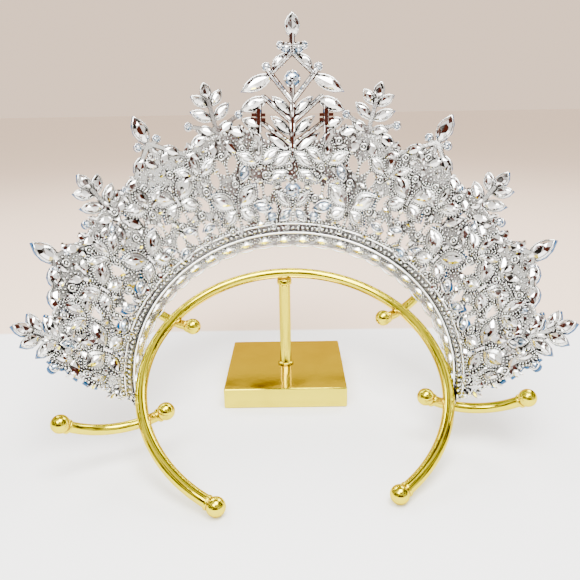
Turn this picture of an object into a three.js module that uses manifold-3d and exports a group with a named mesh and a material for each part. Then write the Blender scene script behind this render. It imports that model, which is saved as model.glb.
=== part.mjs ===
// A bridal crown resting on a gilt display stand.
// Millimetres, +Z up. The origin is the middle of the base plate's underside.
// +Y points to the crown's front, -Y to the open back of the crown and of the hoop.

import * as THREE from 'three';
import { ConvexGeometry } from 'three/addons/geometries/ConvexGeometry.js';
import { mergeVertices } from 'three/addons/utils/BufferGeometryUtils.js';
import Module from 'manifold-3d';

// Clearance between pieces that touch on the real object
const GAP = 0.3;

// Stand: plate, post, a hoop of tube leaning back from its open ends, and four rods under the hoop
const PLATE = { side: 60, height: 10.4, edge: 0.7, edgeSteps: 2 };
const POST = {
  diameter: 5.8,
  footDiameter: 8,
  footHeight: 0.8,
  collarDiameter: 7.4,
  collarHeight: 2.6,
  sides: 16,
};
const HOOP = {
  tube: 5,
  radius: 65.2,
  tilt: 27.5,
  turn: 4.9,
  halfArc: 148.7,
  apexHeight: 59.7,
  apexY: 0.5,
  sides: 10,
  steps: 46,
};
const ARM = {
  rod: 4.4,
  bendRadius: 30.8,
  lowestReach: 5.8,
  innerReach: -9.2,
  outerReach: 30.5,
  sides: 8,
  steps: 8,
};
const ARMS = [
  { name: 'upper_arm_left', angle: -53.5 },
  { name: 'upper_arm_right', angle: 53.5 },
  { name: 'lower_arm_left', angle: -103 },
  { name: 'lower_arm_right', angle: 103 },
];
const BALL = { diameter: 7.45, sides: 10, rings: 7 };

// Crown: a cast sheet on a cone that flares out from a round band.
// phi is the angle round the band from the front, rho the slant height above the band's wire.
const CROWN = {
  bandRadius: 72,
  halfArc: 108,
  flare: 45,
  tilt: 36.8,
  roll: 0.6,
  centre: [4.3, -43.6, 34.6],
};
const METAL = { sheet: 1.3, ridge: 0.9, stem: 2.2, sunk: 0.3 };
const SHEET = { footAtFront: -6, footAtEnds: -3, steps: 72, rows: 2 };

// The sheet's upper edge as [phi, rho]: it dips behind the peak, follows the valleys between the motifs
// and slopes down to the band's ends.
const SHEET_TOP = [
  [0, 42],
  [8, 47],
  [13, 53.5],
  [20, 53],
  [30, 50],
  [34, 53],
  [37.4, 57],
  [41, 52],
  [45, 47.5],
  [49, 46.5],
  [55.6, 47],
  [66, 43],
  [70, 46],
  [74.8, 48],
  [79, 43.5],
  [84, 39.5],
  [92, 40],
  [97, 38],
  [102, 30],
  [108, 6],
];

// A leaf's ridge as shares of its length, the straight lengths in each side of its outline, the sides of a
// bead, how far a stem reaches into the sheet, and how far a punch passes both faces of the sheet
const LEAF = { ridgeFrom: 0.3, ridgeTo: 0.7, steps: 3, stoneSteps: 4 };
const BEAD_SIDES = 10;
const STEM_ROOT = 3;
const PUNCH = 1;
const WIRE = { width: 1.4, height: 0.6, steps: 36 };
const STONE = { inset: 0.84, table: 0.5, height: 2.1, roundSides: 10 };

// Leaves of one motif. (u, v) is the leaf's root, u across and v outward along the motif's axis, and angle
// is its lean from that axis. Each row stands on both sides of the axis unless it lies on the axis itself.
// A leaf that is raised stands on the sheet, the others stand free.
const FERN_LEAVES = [
  { u: 0, v: -8.6, angle: 0, length: 8.6, width: 5, stone: 'tip' },
  { u: 0.9, v: -11.2, angle: 46, length: 9, width: 4.6 },
  { u: 0.3, v: -18.2, angle: 56, length: 11.2, width: 5 },
  { u: 5.2, v: -24.2, angle: 118, length: 10.5, width: 5.4 },
];
const FERN_TWIGS = [{ u: 0, v: -22, toU: 8, toV: -25.7 }];
const FERN_BEADS = [{ u: 12.9, v: -18.6, rootV: -23.5, diameter: 3.6 }];
const CREST_LEAVES = [
  { u: 0, v: -13.6, angle: 0, length: 13.6, width: 6.8, stone: 'tip' },
  { u: 0.3, v: -26, angle: 48, length: 9.5, width: 5 },
];
const CREST_BEADS = [{ u: 4.9, v: -13.2, rootV: -15.5, diameter: 3.6 }];
const BUTTERFLY_LEAVES = [
  { u: 0.4, v: 0, angle: 52, length: 13.8, width: 7, stone: 'wing', raised: true },
];
const VINE_LEAVES = [
  { u: 0, v: -13.5, angle: 0, length: 12, width: 5.6, raised: true },
  { u: 0.3, v: -14, angle: 58, length: 12, width: 5.6, raised: true },
];

// How far below a fern's or a crest's tip its stem ends, in the tip leaf's root
const FERN_STEM_END = 8;
const CREST_STEM_END = 13;

// Where the motifs stand on the right half of the crown, from the front round to the end of the band
const FERNS = [
  { phi: 20, tip: 79 },
  { phi: 55.6, tip: 65 },
  { phi: 94.5, tip: 54 },
];
const CRESTS = [
  {
    phi: 37.4,
    tip: 74,
    sideLeaves: [
      { u: 4.8, v: -17.8, angle: 134, length: 10.5, width: 5.4 },
      { u: 12.9, v: -25, angle: 128, length: 10.5, width: 5.4 },
    ],
    twigs: [{ u: 0, v: -13.5, toU: 17, toV: -28.2 }],
  },
  {
    phi: 74.8,
    tip: 59.5,
    sideLeaves: [
      { u: 3.7, v: -12, angle: 124, length: 9.5, width: 5.2 },
      { u: 11.4, v: -16.8, angle: 116, length: 9.5, width: 5.2 },
    ],
    twigs: [{ u: 0, v: -10, toU: 15.7, toV: -18.9 }],
  },
];
const BUTTERFLIES = [
  { phi: 20, rho: 16 },
  { phi: 37.8, rho: 30 },
  { phi: 56.5, rho: 15 },
  { phi: 74.8, rho: 24 },
  { phi: 93, rho: 14 },
];

const VINES = [10, 28.7, 46.5, 65.2, 84.7];

// Gaps pierced through the sheet: pairs that lean away from the stem left between them, and single ones.
// Where a butterfly stands low on the sheet, its wings take the place of the upper pair.
const LOWER_GAP = { u: 1.1, v: 6, angle: 23, length: 11, width: 4.6 };
const UPPER_GAP = { u: 1.1, v: 18.5, angle: 23, length: 11, width: 5.2 };
const TOP_GAP = { u: 1.1, v: 33, angle: 23, length: 10.5, width: 5 };
const SINGLE_GAP = { u: 0, v: 27.5, angle: 0, length: 10, width: 4.6 };
const GAPS = [
  { row: LOWER_GAP, axes: [0, 10, 20, 28.7, 37.4, 46.5, 55.6, 65.2, 74.8, 84.7, 94.5] },
  { row: UPPER_GAP, axes: [0, 10, 28.7, 37.4, 46.5, 65.2, 74.8, 84.7] },
  { row: TOP_GAP, axes: [20, 55.6] },
  { row: SINGLE_GAP, axes: [15, 24.4, 51] },
];

// Central peak, with v counted from its foot on the band
const PEAK_FOOT = -1;
const PEAK_LEAVES = [
  { u: 0, v: 96.6, angle: 0, length: 11.6, width: 6.8, stone: 'top' },
  { u: 9.8, v: 82, angle: -44, length: 9.8, width: 4.8, stone: 'upper' },
  { u: 10, v: 79, angle: 117, length: 16.8, width: 6.4, stone: 'middle' },
  { u: 12.4, v: 68, angle: 114, length: 14.6, width: 6, stone: 'lower' },
  { u: 0.5, v: 59.5, angle: 46, length: 13, width: 4.8 },
  { u: 0.5, v: 50, angle: 48, length: 13.6, width: 4.8 },
  { u: 14.6, v: 42, angle: 30, length: 14, width: 5.6 },
  { u: 15.8, v: 54, angle: 70, length: 10, width: 5 },
  { u: 0.5, v: 41, angle: 52, length: 16, width: 5.2 },
  { u: 10.4, v: 13.4, angle: 80, length: 10.4, width: 5.6, stone: 'foot', raised: true },
];
const PEAK_BARS = [
  { u: 0, v: 93, toU: 5.9, toV: 93 },
  { u: 0, v: 89.8, toU: 10.9, toV: 79.6 },
  { u: 10.9, v: 79.6, toU: 13, toV: 82.8 },
  { u: 10.9, v: 79.6, toU: 0, toV: 66 },
  { u: 14.6, v: 68.6, toU: 0, toV: 56 },
  { u: 16.8, v: 66.5, toU: 16.8, toV: 52 },
  { u: 16.8, v: 57, toU: 0, toV: 45 },
];
const PEAK_BEADS = [
  { u: 3.1, v: 91.6, diameter: 4.8 },
  { u: 5.9, v: 93, diameter: 3.2 },
  { u: 13, v: 82.8, diameter: 3.6 },
  { u: 0, v: 77.1, diameter: 7.2, stone: 'round' },
  { u: 0, v: 22.4, diameter: 9.4 },
];
const PEAK_STEMS = [
  { u: 0, v: 41, toU: 0, toV: 74.5 },
  { u: 0, v: 89.4, toU: 0, toV: 98 },
];

// Finishes
const SILVER = { color: 0xd9dadc, roughness: 0.18, metalness: 1 };
const GOLD = { color: 0xd4a72c, roughness: 0.2, metalness: 1 };
const CRYSTAL = { color: 0xe4f2fa, roughness: 0.04, metalness: 0.1 };

// Points closer than this are one point
const WELD = 1e-4;

const wasm = await Module();
wasm.setup();

const radians = THREE.MathUtils.degToRad;
const flareSin = Math.sin(radians(CROWN.flare));
const flareCos = Math.cos(radians(CROWN.flare));
const coneSlant = CROWN.bandRadius / flareSin;

// A closed geometry as a solid that can be joined and cut
function solidOf(geometry) {
  const bare = geometry.index ? geometry.clone() : geometry;
  bare.deleteAttribute('normal');
  bare.deleteAttribute('uv');
  const merged = mergeVertices(bare, WELD);
  const vertProperties = new Float32Array(merged.attributes.position.array);
  const triVerts = new Uint32Array(merged.index.array);
  return new wasm.Manifold(new wasm.Mesh({ numProp: 3, vertProperties, triVerts }));
}

function geometryOf(solid) {
  const mesh = solid.getMesh();
  const geometry = new THREE.BufferGeometry();
  geometry.setAttribute('position', new THREE.BufferAttribute(new Float32Array(mesh.vertProperties), 3));
  geometry.setIndex(new THREE.BufferAttribute(new Uint32Array(mesh.triVerts), 1));
  return geometry;
}

function fuse(solids) {
  return solids.reduce((whole, solid) => whole.add(solid));
}

function named(name, geometry, finish) {
  geometry.computeVertexNormals();
  const mesh = new THREE.Mesh(geometry, new THREE.MeshStandardMaterial(finish));
  mesh.name = name;
  return mesh;
}

// A round rod along a curve, closed at both ends
function rod(curve, diameter, sides, steps) {
  const section = new THREE.Shape();
  for (let i = 0; i < sides; i += 1) {
    const turn = (2 * Math.PI * i) / sides;
    const x = (diameter / 2) * Math.cos(turn);
    const y = (diameter / 2) * Math.sin(turn);
    if (i === 0) section.moveTo(x, y);
    else section.lineTo(x, y);
  }
  section.closePath();
  return new THREE.ExtrudeGeometry(section, { steps, bevelEnabled: false, extrudePath: curve });
}

// A circular arc in 3-D: centre + radius * (cos a * first + sin a * second)
class ArcPath extends THREE.Curve {
  constructor(centre, first, second, radius, start, end) {
    super();
    Object.assign(this, { centre, first, second, radius, start, end });
  }

  getPoint(t, target = new THREE.Vector3()) {
    const turn = THREE.MathUtils.lerp(this.start, this.end, t);
    target.copy(this.centre);
    target.addScaledVector(this.first, this.radius * Math.cos(turn));
    return target.addScaledVector(this.second, this.radius * Math.sin(turn));
  }
}

function ball(centre) {
  const geometry = new THREE.SphereGeometry(BALL.diameter / 2, BALL.sides, BALL.rings);
  geometry.rotateX(Math.PI / 2);
  geometry.translate(centre.x, centre.y, centre.z);
  return solidOf(geometry);
}

function basePlate() {
  const half = PLATE.side / 2 - PLATE.edge;
  const square = new THREE.Shape();
  square.moveTo(-half, -half);
  square.lineTo(half, -half);
  square.lineTo(half, half);
  square.lineTo(-half, half);
  square.closePath();
  const geometry = new THREE.ExtrudeGeometry(square, {
    depth: PLATE.height - 2 * PLATE.edge,
    bevelSize: PLATE.edge,
    bevelThickness: PLATE.edge,
    bevelSegments: PLATE.edgeSteps,
  });
  geometry.translate(0, 0, PLATE.edge);
  return named('base_plate', geometry, GOLD);
}

function post() {
  const foot = PLATE.height + GAP;
  const top = HOOP.apexHeight - HOOP.tube / 2 - GAP;
  const profile = [
    new THREE.Vector2(0, foot),
    new THREE.Vector2(POST.footDiameter / 2, foot),
    new THREE.Vector2(POST.footDiameter / 2, foot + POST.footHeight),
    new THREE.Vector2(POST.diameter / 2, foot + POST.footHeight),
    new THREE.Vector2(POST.diameter / 2, top - POST.collarHeight),
    new THREE.Vector2(POST.collarDiameter / 2, top - POST.collarHeight),
    new THREE.Vector2(POST.collarDiameter / 2, top),
    new THREE.Vector2(0, top),
  ];
  const geometry = new THREE.LatheGeometry(profile, POST.sides);
  geometry.rotateX(Math.PI / 2);
  return named('post', geometry, GOLD);
}

// The hoop lies in its own XY plane, centred on the origin, with its apex at +Y over the post.
function hoop() {
  const sideways = new THREE.Vector3(1, 0, 0);
  const ahead = new THREE.Vector3(0, 1, 0);
  const end = radians(HOOP.halfArc);
  const path = new ArcPath(new THREE.Vector3(), ahead, sideways, HOOP.radius, -end, end);
  const tube = solidOf(rod(path, HOOP.tube, HOOP.sides, HOOP.steps));
  const solid = fuse([tube, ball(path.getPoint(0)), ball(path.getPoint(1))]);
  return named('hoop', geometryOf(solid), GOLD);
}

// A rod in a plane through the hoop's axis: it dips under the tube and curls up towards both balls.
function arm({ name, angle }) {
  const turn = radians(angle);
  const outward = new THREE.Vector3(Math.sin(turn), Math.cos(turn), 0);
  const up = new THREE.Vector3(0, 0, 1);
  const underTube = HOOP.tube / 2 + ARM.rod / 2 + GAP;
  const rise = Math.sqrt(ARM.bendRadius ** 2 - ARM.lowestReach ** 2) - underTube;
  const centre = outward.clone().multiplyScalar(HOOP.radius + ARM.lowestReach);
  centre.addScaledVector(up, rise);
  const down = up.clone().negate();
  const inner = Math.asin((ARM.innerReach - ARM.lowestReach) / ARM.bendRadius);
  const outer = Math.asin((ARM.outerReach - ARM.lowestReach) / ARM.bendRadius);
  const path = new ArcPath(centre, down, outward, ARM.bendRadius, inner, outer);
  const bentRod = solidOf(rod(path, ARM.rod, ARM.sides, ARM.steps));
  const solid = fuse([bentRod, ball(path.getPoint(0)), ball(path.getPoint(1))]);
  return named(name, geometryOf(solid), GOLD);
}

// The crown's sheet is laid out flat first, as it is drawn, and then bent onto its cone.
// In the flat layout z is 0 on the crown's front and grows towards the head.
function motifFrame(phi, rho) {
  const turn = radians(phi) * flareSin;
  const outward = new THREE.Vector2(Math.sin(turn), Math.cos(turn));
  const across = new THREE.Vector2(outward.y, -outward.x);
  const origin = outward.clone().multiplyScalar(coneSlant + rho);
  const place = (u, v) => origin.clone().addScaledVector(across, u).addScaledVector(outward, v);
  return { place, turn };
}

function bent(geometry) {
  const position = geometry.attributes.position;
  for (let i = 0; i < position.count; i += 1) {
    const x = position.getX(i);
    const y = position.getY(i);
    const z = position.getZ(i);
    const phi = Math.atan2(x, y) / flareSin;
    const rho = Math.hypot(x, y) - coneSlant;
    const radius = CROWN.bandRadius + rho * flareSin - z * flareCos;
    const height = rho * flareCos + z * flareSin;
    position.setXYZ(i, radius * Math.sin(phi), radius * Math.cos(phi), height);
  }
  return geometry;
}

// A pointed oval of two equal arcs, from its root at (0, 0) to its tip at (0, length)
function leafOutline(length, width, steps) {
  const side = [];
  for (let i = 1; i < steps; i += 1) {
    const t = i / steps;
    side.push({ across: 2 * width * t * (1 - t), along: length * t });
  }
  const otherSide = side.map(({ across, along }) => ({ across: -across, along })).reverse();
  return [{ across: 0, along: 0 }, ...side, { across: 0, along: length }, ...otherSide];
}

function leafPlace(frame, row) {
  const lean = radians(row.angle);
  return (across, along) => frame.place(
    row.u + across * Math.cos(lean) + along * Math.sin(lean),
    row.v - across * Math.sin(lean) + along * Math.cos(lean),
  );
}

function lifted(point, z) {
  return new THREE.Vector3(point.x, point.y, z);
}

// One cast leaf with a ridged back, standing free or raised on the sheet
function leaf(frame, row) {
  const place = leafPlace(frame, row);
  const base = row.raised ? METAL.sheet - METAL.sunk : 0;
  const outline = leafOutline(row.length, row.width, row.stone ? LEAF.stoneSteps : LEAF.steps);
  const points = outline.map(({ across, along }) => lifted(place(across, along), base));
  for (const share of [LEAF.ridgeFrom, LEAF.ridgeTo]) {
    points.push(lifted(place(0, share * row.length), METAL.sheet + METAL.ridge));
  }
  return solidOf(new ConvexGeometry(points));
}

// A lens-shaped hole through the sheet
function gap(frame, row) {
  const place = leafPlace(frame, row);
  const points = [];
  for (const { across, along } of leafOutline(row.length, row.width, LEAF.steps)) {
    points.push(lifted(place(across, along), -PUNCH));
    points.push(lifted(place(across, along), METAL.sheet + PUNCH));
  }
  return solidOf(new ConvexGeometry(points));
}

function stem(from, to) {
  const span = to.clone().sub(from);
  const geometry = new THREE.BoxGeometry(METAL.stem, span.length(), METAL.sheet);
  geometry.translate(0, 0, METAL.sheet / 2);
  geometry.rotateZ(Math.atan2(-span.x, span.y));
  geometry.translate((from.x + to.x) / 2, (from.y + to.y) / 2, 0);
  return solidOf(geometry);
}

// A round setting with a pointed back
function bead(centre, diameter) {
  const rim = diameter / 2;
  const profile = [
    new THREE.Vector2(0, 0),
    new THREE.Vector2(rim, 0),
    new THREE.Vector2(0, METAL.sheet + METAL.ridge),
  ];
  const geometry = new THREE.LatheGeometry(profile, BEAD_SIDES);
  geometry.rotateX(Math.PI / 2);
  geometry.translate(centre.x, centre.y, 0);
  return solidOf(geometry);
}

function sheetTop(phi) {
  const past = SHEET_TOP.findIndex(([angle]) => angle >= Math.abs(phi));
  const [toAngle, toRho] = SHEET_TOP[Math.max(past, 1)];
  const [fromAngle, fromRho] = SHEET_TOP[Math.max(past, 1) - 1];
  return THREE.MathUtils.mapLinear(Math.abs(phi), fromAngle, toAngle, fromRho, toRho);
}

function sheetFoot(phi) {
  return THREE.MathUtils.lerp(SHEET.footAtFront, SHEET.footAtEnds, Math.abs(phi) / CROWN.halfArc);
}

// A strip of the sheet along the band. from and to give its slant heights at an angle phi.
function strip(from, to, z, height, steps, rows) {
  const geometry = new THREE.BoxGeometry(1, 1, 1, steps, rows, 1);
  const position = geometry.attributes.position;
  for (let i = 0; i < position.count; i += 1) {
    const phi = 2 * CROWN.halfArc * position.getX(i);
    const rho = THREE.MathUtils.lerp(from(phi), to(phi), position.getY(i) + 0.5);
    const point = motifFrame(phi, rho).place(0, 0);
    position.setXYZ(i, point.x, point.y, z + height * (position.getZ(i) + 0.5));
  }
  return solidOf(geometry);
}

// A cut stone on the front of its setting: a girdle, a ring of facets and a table
function stoneGeometry(outline, middle) {
  const points = [];
  const front = -GAP;
  for (const point of outline) {
    const girdle = middle.clone().lerp(point, STONE.inset);
    const table = middle.clone().lerp(point, STONE.table);
    points.push(lifted(girdle, front));
    points.push(lifted(table, front - STONE.height));
  }
  return bent(solidGeometry(points));
}

function solidGeometry(points) {
  return geometryOf(solidOf(new ConvexGeometry(points)));
}

function leafStone(frame, row) {
  const place = leafPlace(frame, row);
  const outline = leafOutline(row.length, row.width, LEAF.stoneSteps);
  const placed = outline.map(({ across, along }) => place(across, along));
  return stoneGeometry(placed, place(0, row.length / 2));
}

function roundStone(frame, row) {
  const outline = [];
  for (let i = 0; i < STONE.roundSides; i += 1) {
    const turn = (2 * Math.PI * i) / STONE.roundSides;
    const reach = row.diameter / 2;
    outline.push(frame.place(row.u + reach * Math.cos(turn), row.v + reach * Math.sin(turn)));
  }
  return stoneGeometry(outline, frame.place(row.u, row.v));
}

const SIDES = [
  { name: 'left', sign: -1 },
  { name: 'right', sign: 1 },
];

function mirrored(row, sign) {
  return { ...row, u: row.u * sign, angle: (row.angle ?? 0) * sign };
}

// Rows off the axis stand on both sides of it, rows on the axis once
function bothSides(rows) {
  const placed = [];
  for (const row of rows) {
    if (row.u === 0 && (row.angle ?? 0) === 0) placed.push({ row, side: '' });
    else for (const { name, sign } of SIDES) placed.push({ row: mirrored(row, sign), side: `_${name}` });
  }
  return placed;
}

const castings = [];
const stones = [];

function addStone(place, geometry) {
  stones.push(named(`stone_${place}`, geometry, CRYSTAL));
}

function addLeaves(frame, rows, motif) {
  for (const { row, side } of bothSides(rows)) {
    castings.push(leaf(frame, row));
    if (row.stone) addStone(`${motif}_${row.stone}${side}`, leafStone(frame, row));
  }
}

function addBeads(frame, rows, motif) {
  for (const { row, side } of bothSides(rows)) {
    const centre = frame.place(row.u, row.v);
    castings.push(bead(centre, row.diameter));
    if (row.rootV) castings.push(stem(frame.place(0, row.rootV), centre));
    if (row.stone) addStone(`${motif}_${row.stone}${side}`, roundStone(frame, row));
  }
}

function addBars(frame, rows, sides) {
  for (const row of rows) {
    for (const { sign } of sides) {
      castings.push(stem(frame.place(row.u * sign, row.v), frame.place(row.toU * sign, row.toV)));
    }
  }
}

function addStem(phi, from, to) {
  castings.push(stem(motifFrame(phi, from).place(0, 0), motifFrame(phi, to).place(0, 0)));
}

function piercedSheet() {
  let sheet = strip(sheetFoot, sheetTop, 0, METAL.sheet, SHEET.steps, SHEET.rows);
  for (const { row, axes } of GAPS) {
    for (const phi of axes) {
      for (const { sign } of phi === 0 ? SIDES.slice(1) : SIDES) {
        const frame = motifFrame(sign * phi, 0);
        for (const placed of bothSides([row])) sheet = sheet.subtract(gap(frame, placed.row));
      }
    }
  }
  return sheet;
}

castings.push(piercedSheet());
const wireEdge = WIRE.width / 2;
const wireFoot = METAL.sheet - METAL.sunk;
castings.push(strip(() => -wireEdge, () => wireEdge, wireFoot, METAL.sunk + WIRE.height, WIRE.steps, 1));

const peak = motifFrame(0, PEAK_FOOT);
addLeaves(peak, PEAK_LEAVES, 'peak');
addBeads(peak, PEAK_BEADS, 'peak');
addBars(peak, PEAK_STEMS, SIDES.slice(1));
addBars(peak, PEAK_BARS, SIDES);

for (const { name, sign } of SIDES) {
  FERNS.forEach(({ phi, tip }, i) => {
    const frame = motifFrame(sign * phi, tip);
    addLeaves(frame, FERN_LEAVES, `fern_${i + 1}_${name}`);
    addBeads(frame, FERN_BEADS, `fern_${i + 1}_${name}`);
    addBars(frame, FERN_TWIGS, SIDES);
    addStem(sign * phi, sheetTop(phi) - STEM_ROOT, tip - FERN_STEM_END);
  });
  CRESTS.forEach(({ phi, tip, sideLeaves, twigs }, i) => {
    const frame = motifFrame(sign * phi, tip);
    addLeaves(frame, [...CREST_LEAVES, ...sideLeaves], `crest_${i + 1}_${name}`);
    addBeads(frame, CREST_BEADS, `crest_${i + 1}_${name}`);
    addBars(frame, twigs, SIDES);
    addStem(sign * phi, sheetTop(phi) - STEM_ROOT, tip - CREST_STEM_END);
  });
  for (const phi of VINES) addLeaves(motifFrame(sign * phi, sheetTop(phi)), VINE_LEAVES, 'vine');
  BUTTERFLIES.forEach(({ phi, rho }, i) => {
    addLeaves(motifFrame(sign * phi, rho), BUTTERFLY_LEAVES, `butterfly_${i + 1}_${name}`);
  });
}

const crown = new THREE.Group();
crown.rotation.set(radians(CROWN.tilt), radians(CROWN.roll), 0, 'YXZ');
crown.position.set(...CROWN.centre);
const casting = fuse(castings);
crown.add(named('crown_frame', bent(geometryOf(casting)), SILVER));
crown.add(...stones);

// The hoop hangs on the post by its apex and is turned a little round it.
const leaningHoop = new THREE.Group();
leaningHoop.rotation.x = radians(HOOP.tilt);
leaningHoop.position.set(
  0,
  HOOP.apexY - HOOP.radius * Math.cos(radians(HOOP.tilt)),
  HOOP.apexHeight - HOOP.radius * Math.sin(radians(HOOP.tilt)),
);
leaningHoop.add(hoop(), ...ARMS.map(arm));
const turnedHoop = new THREE.Group();
turnedHoop.rotation.z = radians(HOOP.turn);
turnedHoop.add(leaningHoop);

const crownOnStand = new THREE.Group();
crownOnStand.add(basePlate(), post(), turnedHoop, crown);

export default crownOnStand;
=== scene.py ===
import math
import random

import bmesh
import bpy
import numpy as np
from mathutils import Matrix, Vector


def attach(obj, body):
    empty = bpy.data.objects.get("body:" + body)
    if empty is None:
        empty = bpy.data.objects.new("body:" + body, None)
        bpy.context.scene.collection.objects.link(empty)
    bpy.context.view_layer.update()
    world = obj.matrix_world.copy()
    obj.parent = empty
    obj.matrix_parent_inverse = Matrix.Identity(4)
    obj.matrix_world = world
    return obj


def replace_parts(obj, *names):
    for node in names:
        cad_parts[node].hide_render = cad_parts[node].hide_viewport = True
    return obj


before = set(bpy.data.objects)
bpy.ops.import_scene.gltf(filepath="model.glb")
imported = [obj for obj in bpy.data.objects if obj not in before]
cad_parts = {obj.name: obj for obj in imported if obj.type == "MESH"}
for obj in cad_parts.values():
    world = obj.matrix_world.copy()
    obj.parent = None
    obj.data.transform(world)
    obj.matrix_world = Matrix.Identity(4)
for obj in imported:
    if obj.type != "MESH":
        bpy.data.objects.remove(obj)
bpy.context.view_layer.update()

# Base plate: a heavy square of steel, ground flat, its edges rounded over before it was polished and gold
# plated. It stands on its underside and takes the post in a threaded hole in its middle.
MM = 0.001
PLATE_SIDE = 60 * MM
PLATE_HEIGHT = 10.4 * MM
PLATE_ROUNDING = 0.8 * MM
PLATE_SHARP = math.radians(20)


def linear(colour):
    """An sRGB hex colour as linear red, green, blue and alpha."""
    shares = [int(colour[i:i + 2], 16) / 255 for i in (1, 3, 5)]
    return [c / 12.92 if c <= 0.04045 else ((c + 0.055) / 1.055) ** 2.4 for c in shares] + [1]


def add_node(material, kind, inputs, **settings):
    """One node with its settings; an input is a value, or another node's socket to link.

    A Mix node's sockets share their names, so they go by number: 0 is the share, 6 and 7 the colours.
    """
    tree = material.node_tree
    node = tree.nodes.new(kind)
    for name, value in settings.items():
        setattr(node, name, value)
    for name, value in inputs.items():
        if isinstance(value, bpy.types.NodeSocket):
            tree.links.new(value, node.inputs[name])
        else:
            node.inputs[name].default_value = value
    return node


def new_material(name):
    """A material with nodes, and its shader."""
    material = bpy.data.materials.new(name)
    material.use_nodes = True
    return material, material.node_tree.nodes["Principled BSDF"]


def link(material, socket, target):
    material.node_tree.links.new(socket, target)


# Gold plate, polished on a wheel: a deep yellow mirror whose gloss wanders a little where the wheel dwelt,
# with faint polishing waves a few millimetres apart. The waves are drawn deeper than real ones to show.
gilt, gilt_shader = new_material("polished_gold_plate")
gilt_place = add_node(gilt, "ShaderNodeTexCoord", {})
gilt_cloud = add_node(gilt, "ShaderNodeTexNoise", {
    "Vector": gilt_place.outputs["Object"], "Scale": 1 / (14 * MM), "Detail": 3})
gilt_tone = add_node(gilt, "ShaderNodeMix", {
    0: gilt_cloud.outputs["Fac"], 6: linear("#cfbc04"), 7: linear("#e6d81a")}, data_type="RGBA")
gilt_gloss = add_node(gilt, "ShaderNodeMapRange", {
    "Value": gilt_cloud.outputs["Fac"], "From Min": 0.3, "From Max": 0.7, "To Min": 0.07, "To Max": 0.16})
gilt_waves = add_node(gilt, "ShaderNodeTexNoise", {
    "Vector": gilt_place.outputs["Object"], "Scale": 1 / (3 * MM), "Detail": 2})
gilt_bump = add_node(gilt, "ShaderNodeBump", {
    "Height": gilt_waves.outputs["Fac"], "Strength": 0.12, "Distance": 0.3 * MM})
link(gilt, gilt_tone.outputs[2], gilt_shader.inputs["Base Color"])
link(gilt, gilt_gloss.outputs["Result"], gilt_shader.inputs["Roughness"])
link(gilt, gilt_bump.outputs["Normal"], gilt_shader.inputs["Normal"])
gilt_shader.inputs["Specular Tint"].default_value = linear("#f4dc70")
gilt_shader.inputs["Metallic"].default_value = 1


def as_piece(name, mesh, material, smooth):
    """A mesh as an object of one material that rides on the part's one body."""
    mesh.polygons.foreach_set("use_smooth", [smooth] * len(mesh.polygons))
    mesh.materials.append(material)
    piece = bpy.data.objects.new(name, mesh)
    bpy.context.scene.collection.objects.link(piece)
    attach(piece, "root")
    return piece


def stand_piece(name, bm, node, sharp):
    """The bmesh as a gilt piece in place of a CAD node, shaded smooth but for edges over an angle."""
    bmesh.ops.recalc_face_normals(bm, faces=bm.faces)
    mesh = bpy.data.meshes.new(name)
    bm.to_mesh(mesh)
    bm.free()
    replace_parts(as_piece(name, mesh, gilt, smooth=True), node)
    mesh.set_sharp_from_angle(angle=sharp)


plate = bmesh.new()
bmesh.ops.create_cube(plate, size=1)
bmesh.ops.scale(plate, vec=(PLATE_SIDE, PLATE_SIDE, PLATE_HEIGHT), verts=plate.verts)
bmesh.ops.translate(plate, vec=(0, 0, PLATE_HEIGHT / 2), verts=plate.verts)
bmesh.ops.bevel(plate, geom=plate.edges[:], offset=PLATE_ROUNDING, offset_type="OFFSET", segments=4,
                profile=0.5, affect="EDGES", material=-1, clamp_overlap=True)
stand_piece("gilt_base_plate", plate, "base_plate", PLATE_SHARP)

# Post: a turned steel rod with a foot ring that hides the thread in the plate, and a collar with a rounded
# shoulder that is soldered up against the hoop. It is gold plated like the rest of the stand.
# The profile's columns are radius and height, in millimetres.
POST_PROFILE = [(0, 10.5), (3.7, 10.5), (4.0, 10.8), (4.0, 11.3), (3.7, 11.6), (3.1, 11.7), (2.9, 12.1),
                (2.9, 53.6), (3.3, 54.2), (3.7, 54.5), (3.7, 56.6), (3.4, 56.9), (0, 56.9)]
POST_SEGMENTS = 40
ROUND_SHARP = math.radians(50)

post = bmesh.new()
post_points = [post.verts.new((radius * MM, 0, height * MM)) for radius, height in POST_PROFILE]
post_edges = [post.edges.new(pair) for pair in zip(post_points, post_points[1:])]
bmesh.ops.spin(post, geom=post_points + post_edges, cent=(0, 0, 0), axis=(0, 0, 1), angle=math.tau,
               steps=POST_SEGMENTS, use_merge=True)
bmesh.ops.remove_doubles(post, verts=post.verts, dist=0.001 * MM)
stand_piece("gilt_post", post, "post", ROUND_SHARP)

# Hoop: a steel tube bent to most of a circle, soldered to the post at its apex and leaning back from
# there. A ball with a short neck closes each open end.
TUBE_RADIUS = 2.5 * MM
HOOP_RADIUS = 65.2 * MM
HOOP_HALF_ARC = math.radians(148.7)
HOOP_LEAN = math.radians(27.5)
HOOP_TURN = math.radians(4.9)
HOOP_APEX = Vector((0, 0.5, 59.7)) * MM
BALL_RADIUS = 3.72 * MM
NECK = {"radius": 2.9 * MM, "length": 1.2 * MM, "rounding": 0.35 * MM}
hoop_centre = HOOP_APEX - HOOP_RADIUS * Vector((0, math.cos(HOOP_LEAN), math.sin(HOOP_LEAN)))
hoop_to_stand = (Matrix.Rotation(HOOP_TURN, 4, "Z") @ Matrix.Translation(hoop_centre)
                 @ Matrix.Rotation(HOOP_LEAN, 4, "X"))


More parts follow.
